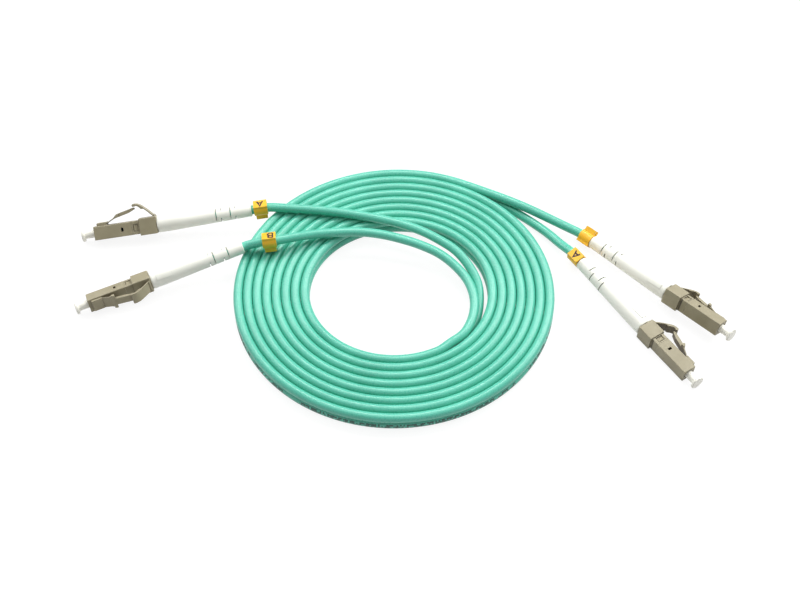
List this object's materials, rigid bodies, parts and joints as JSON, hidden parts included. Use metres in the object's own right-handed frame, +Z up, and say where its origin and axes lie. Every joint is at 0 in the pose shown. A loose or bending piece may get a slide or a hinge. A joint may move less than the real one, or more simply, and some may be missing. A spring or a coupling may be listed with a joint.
{
  "type": "fiber optic patch cord",
  "caption": "Coiled two-strand fibre optic patch cord with capped latching plugs, tapered slit boots and lettered marker clips on both split ends.",
  "frame": {"origin": "middle of the box round the plugs, boots and clips, on the surface that the cord lies on", "axes": "+X from the left pair of plugs towards the right pair, +Y away from the viewer, +Z up, square to the surface"},
  "size_m": [0.2108, 0.1008, 0.0127],
  "materials": {
    "jacket": "satin aqua PVC or LSZH jacket",
    "beige_plastic": "satin moulded beige",
    "white_plastic": "satin moulded white",
    "boot_plastic": "soft satin white elastomer",
    "clip_plastic": "satin yellow-orange",
    "ceramic": "polished white zirconia",
    "metal": "nickel plated",
    "spring_steel": "drawn stainless wire",
    "brass": "turned",
    "fibre": "smooth tight buffer"
  },
  "bodies": {
    "cord": {"left_a_plug_housing": "beige_plastic", "left_a_rear_housing": "beige_plastic", "left_a_backbone": "brass", "left_a_crimp_sleeve": "metal", "left_a_boot": "boot_plastic", "left_a_marker_clip": "clip_plastic", "left_b_plug_housing": "beige_plastic", "left_b_rear_housing": "beige_plastic", "left_b_backbone": "brass", "left_b_crimp_sleeve": "metal", "left_b_boot": "boot_plastic", "left_b_marker_clip": "clip_plastic", "right_a_plug_housing": "beige_plastic", "right_a_rear_housing": "beige_plastic", "right_a_backbone": "brass", "right_a_crimp_sleeve": "metal", "right_a_boot": "boot_plastic", "right_a_marker_clip": "clip_plastic", "right_b_plug_housing": "beige_plastic", "right_b_rear_housing": "beige_plastic", "right_b_backbone": "brass", "right_b_crimp_sleeve": "metal", "right_b_boot": "boot_plastic", "right_b_marker_clip": "clip_plastic", "cord_coil": "jacket", "cord_left_a": "jacket", "cord_left_b": "jacket", "cord_right_a": "jacket", "cord_right_b": "jacket"},
    "left_a_cap": {"left_a_dust_cap": "white_plastic"},
    "left_a_ferrule_group": {"left_a_ferrule": "ceramic", "left_a_ferrule_flange": "metal", "left_a_spring": "spring_steel", "left_a_buffered_fibre": "fibre"},
    "left_a_latch_body": {"left_a_latch": "beige_plastic"},
    "left_a_trigger_body": {"left_a_trigger": "beige_plastic"},
    "left_b_cap": {"left_b_dust_cap": "white_plastic"},
    "left_b_ferrule_group": {"left_b_ferrule": "ceramic", "left_b_ferrule_flange": "metal", "left_b_spring": "spring_steel", "left_b_buffered_fibre": "fibre"},
    "left_b_latch_body": {"left_b_latch": "beige_plastic"},
    "left_b_trigger_body": {"left_b_trigger": "beige_plastic"},
    "right_a_cap": {"right_a_dust_cap": "white_plastic"},
    "right_a_ferrule_group": {"right_a_ferrule": "ceramic", "right_a_ferrule_flange": "metal", "right_a_spring": "spring_steel", "right_a_buffered_fibre": "fibre"},
    "right_a_latch_body": {"right_a_latch": "beige_plastic"},
    "right_a_trigger_body": {"right_a_trigger": "beige_plastic"},
    "right_b_cap": {"right_b_dust_cap": "white_plastic"},
    "right_b_ferrule_group": {"right_b_ferrule": "ceramic", "right_b_ferrule_flange": "metal", "right_b_spring": "spring_steel", "right_b_buffered_fibre": "fibre"},
    "right_b_latch_body": {"right_b_latch": "beige_plastic"},
    "right_b_trigger_body": {"right_b_trigger": "beige_plastic"}
  },
  "joints": [
    {"name": "left_a_cap_pull", "type": "slide", "parent": "cord", "child": "left_a_cap", "axis": [-0.9895, -0.1233, -0.075], "range_m": [0, 0.011]},
    {"name": "left_a_ferrule_float", "type": "slide", "parent": "cord", "child": "left_a_ferrule_group", "axis": [0.9895, 0.1233, 0.075], "range_m": [0, 0.0015], "stiffness_N_per_m": 1000, "springref_m": -0.0055, "deforming": ["left_a_spring", "left_a_buffered_fibre"]},
    {"name": "left_a_trigger_press", "type": "hinge", "parent": "cord", "child": "left_a_trigger_body", "pos_m": [-0.0818, 0.03085, 0.00678], "axis": [0.0336, -0.7021, 0.7112], "range_deg": [0, 15], "stiffness_Nm_per_rad": 0.003, "springref_deg": -5.73},
    {"name": "left_a_latch_press", "type": "hinge", "parent": "cord", "child": "left_a_latch_body", "pos_m": [-0.09715, 0.02877, 0.00545], "axis": [-0.0336, 0.7021, -0.7112], "range_deg": [0, 10.6], "stiffness_Nm_per_rad": 0.003, "springref_deg": -5.73},
    {"name": "left_b_cap_pull", "type": "slide", "parent": "cord", "child": "left_b_cap", "axis": [-0.9276, -0.3617, -0.0934], "range_m": [0, 0.011]},
    {"name": "left_b_ferrule_float", "type": "slide", "parent": "cord", "child": "left_b_ferrule_group", "axis": [0.9276, 0.3617, 0.0934], "range_m": [0, 0.0015], "stiffness_N_per_m": 1000, "springref_m": -0.0055, "deforming": ["left_b_spring", "left_b_buffered_fibre"]},
    {"name": "left_b_trigger_press", "type": "hinge", "parent": "cord", "child": "left_b_trigger_body", "pos_m": [-0.08022, 0.00157, 0.00616], "axis": [0.2247, -0.3404, -0.9131], "range_deg": [0, 15], "stiffness_Nm_per_rad": 0.003, "springref_deg": -5.73},
    {"name": "left_b_latch_press", "type": "hinge", "parent": "cord", "child": "left_b_latch_body", "pos_m": [-0.09472, -0.00384, 0.00461], "axis": [-0.2247, 0.3404, 0.9131], "range_deg": [0, 10.6], "stiffness_Nm_per_rad": 0.003, "springref_deg": -5.73},
    {"name": "right_a_cap_pull", "type": "slide", "parent": "cord", "child": "right_a_cap", "axis": [0.5677, -0.8229, -0.0253], "range_m": [0, 0.011]},
    {"name": "right_a_ferrule_float", "type": "slide", "parent": "cord", "child": "right_a_ferrule_group", "axis": [-0.5677, 0.8229, 0.0253], "range_m": [0, 0.0015], "stiffness_N_per_m": 1000, "springref_m": -0.0055, "deforming": ["right_a_spring", "right_a_buffered_fibre"]},
    {"name": "right_a_trigger_press", "type": "hinge", "parent": "cord", "child": "right_a_trigger_body", "pos_m": [0.08016, -0.01269, 0.00278], "axis": [-0.0503, -0.004, -0.9987], "range_deg": [0, 15], "stiffness_Nm_per_rad": 0.003, "springref_deg": -5.73},
    {"name": "right_a_latch_press", "type": "hinge", "parent": "cord", "child": "right_a_latch_body", "pos_m": [0.08879, -0.02562, 0.0024], "axis": [0.0503, 0.004, 0.9987], "range_deg": [0, 10.6], "stiffness_Nm_per_rad": 0.003, "springref_deg": -5.73},
    {"name": "right_b_cap_pull", "type": "slide", "parent": "cord", "child": "right_b_cap", "axis": [0.7014, -0.7113, 0.0454], "range_m": [0, 0.011]},
    {"name": "right_b_ferrule_float", "type": "slide", "parent": "cord", "child": "right_b_ferrule_group", "axis": [-0.7014, 0.7113, -0.0454], "range_m": [0, 0.0015], "stiffness_N_per_m": 1000, "springref_m": -0.0055, "deforming": ["right_b_spring", "right_b_buffered_fibre"]},
    {"name": "right_b_trigger_press", "type": "hinge", "parent": "cord", "child": "right_b_trigger_body", "pos_m": [0.0885, 0.00022, 0.00353], "axis": [-0.2535, -0.3085, -0.9168], "range_deg": [0, 15], "stiffness_Nm_per_rad": 0.003, "springref_deg": -5.73},
    {"name": "right_b_latch_press", "type": "hinge", "parent": "cord", "child": "right_b_latch_body", "pos_m": [0.09925, -0.01099, 0.00433], "axis": [0.2535, 0.3085, 0.9168], "range_deg": [0, 10.6], "stiffness_Nm_per_rad": 0.003, "springref_deg": -5.73}
  ],
  "couplings": [
    {"joint": "left_a_latch_press", "follows": "left_a_trigger_press", "ratio": 0.7},
    {"joint": "left_b_latch_press", "follows": "left_b_trigger_press", "ratio": 0.7},
    {"joint": "right_a_latch_press", "follows": "right_a_trigger_press", "ratio": 0.7},
    {"joint": "right_b_latch_press", "follows": "right_b_trigger_press", "ratio": 0.7}
  ]
}
